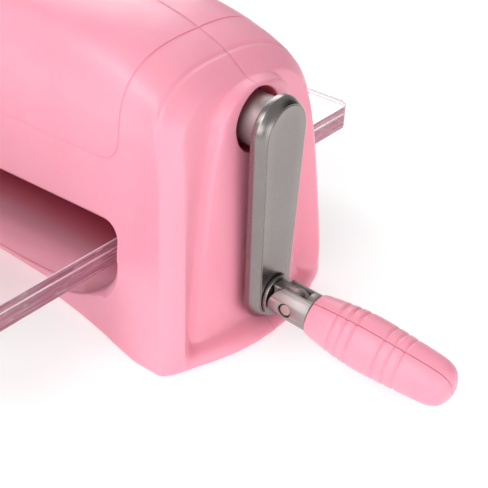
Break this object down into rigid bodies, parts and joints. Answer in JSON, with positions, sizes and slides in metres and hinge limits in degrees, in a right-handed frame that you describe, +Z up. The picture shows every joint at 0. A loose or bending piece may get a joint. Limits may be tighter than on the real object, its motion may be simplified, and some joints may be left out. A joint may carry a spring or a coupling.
{
  "type": "hand cranked die cutting machine",
  "caption": "Bench-top die cutting machine: a crank with a folding grip turns geared rollers in a moulded housing and feeds a stack of clear plates through.",
  "frame": {"origin": "centre of the base plate's flat underside, which is the housing's bottom edge; the rubber feet reach 1.2 mm below it", "axes": "+Z up; X runs along the rollers, +X towards the crank; Y is the feed direction, -Y the side shown at the front of the picture"},
  "size_m": [0.3427, 0.26, 0.1317],
  "materials": {
    "pink_plastic": "moulded satin-gloss pink plastic, smooth, with a soft sheen",
    "satin_metal": "satin nickel-grey metal, fine bead-blasted grain, brighter along the chamfers",
    "roller_steel": "ground and polished steel",
    "gear_steel": "cut and lightly oiled steel",
    "frame_steel": "zinc plated sheet and bar",
    "bronze": "sintered bronze",
    "black_plastic": "matt black moulded plastic",
    "rubber": "matt black rubber",
    "clear_acrylic": "clear polished acrylic sheet"
  },
  "bodies": {
    "chassis": {"front_shell": "pink_plastic", "rear_shell": "pink_plastic", "base_plate": "black_plastic", "foot_1": "rubber", "foot_2": "rubber", "foot_3": "rubber", "foot_4": "rubber", "side_frame_left": "frame_steel", "side_frame_right": "frame_steel", "gear_plate": "frame_steel", "gear_plate_post_1": "frame_steel", "gear_plate_post_2": "frame_steel", "gear_plate_post_3": "frame_steel", "gear_plate_post_4": "frame_steel", "tie_rod_1": "frame_steel", "tie_rod_2": "frame_steel", "tie_rod_3": "frame_steel", "tie_rod_4": "frame_steel", "tie_nut_1_left": "roller_steel", "tie_nut_1_right": "roller_steel", "tie_nut_2_left": "roller_steel", "tie_nut_2_right": "roller_steel", "tie_nut_3_left": "roller_steel", "tie_nut_3_right": "roller_steel", "tie_nut_4_left": "roller_steel", "tie_nut_4_right": "roller_steel", "lower_bush_left": "bronze", "lower_bush_right": "bronze", "upper_bush_left": "bronze", "upper_bush_right": "bronze", "crank_bush_inner": "bronze", "crank_bush_outer": "bronze", "drive_bush": "bronze", "housing_screw_1": "roller_steel", "housing_screw_2": "roller_steel", "housing_screw_3": "roller_steel", "housing_screw_4": "roller_steel", "frame_screw_1": "roller_steel", "frame_screw_2": "roller_steel", "frame_screw_3": "roller_steel", "frame_screw_4": "roller_steel"},
    "upper_roller": {"upper_roller": "roller_steel", "upper_roller_gear": "gear_steel", "drive_gear": "gear_steel"},
    "lower_roller": {"lower_roller": "roller_steel", "lower_roller_gear": "gear_steel"},
    "crank": {"crank_shaft": "roller_steel", "crank_pinion": "gear_steel", "crank_hub": "satin_metal", "crank_arm": "satin_metal", "handle_knuckle": "satin_metal", "hinge_pin": "satin_metal"},
    "handle": {"handle_fork": "satin_metal", "grip_stop": "roller_steel"},
    "grip": {"grip_half_inner": "pink_plastic", "grip_half_outer": "pink_plastic"},
    "plates": {"platform_plate": "clear_acrylic", "cutting_plate": "clear_acrylic"}
  },
  "joints": [
    {"name": "crank_turn", "type": "hinge", "parent": "chassis", "child": "crank", "pos_m": [0, 0, 0.09388], "axis": [1, 0, 0], "range_deg": [-2100, 2100]},
    {"name": "upper_roller_turn", "type": "hinge", "parent": "chassis", "child": "upper_roller", "pos_m": [0, 0, 0.05325], "axis": [1, 0, 0], "range_deg": [-640, 640]},
    {"name": "lower_roller_turn", "type": "hinge", "parent": "chassis", "child": "lower_roller", "pos_m": [0, 0, 0.02075], "axis": [1, 0, 0], "range_deg": [-640, 640]},
    {"name": "plates_feed", "type": "slide", "parent": "chassis", "child": "plates", "axis": [0, 1, 0], "range_m": [-0.112, 0.112]},
    {"name": "handle_fold", "type": "hinge", "parent": "crank", "child": "handle", "pos_m": [0.13879, 0, 0.01908], "axis": [0, -1, 0], "range_deg": [0, 90]},
    {"name": "grip_spin", "type": "hinge", "parent": "handle", "child": "grip", "pos_m": [0.14925, 0, 0.0182], "axis": [0.9965, 0, -0.0837], "continuous": true}
  ],
  "couplings": [
    {"joint": "upper_roller_turn", "follows": "crank_turn", "ratio": -0.3},
    {"joint": "lower_roller_turn", "follows": "crank_turn", "ratio": 0.3},
    {"joint": "plates_feed", "follows": "crank_turn", "m_per_rad": -0.003}
  ]
}
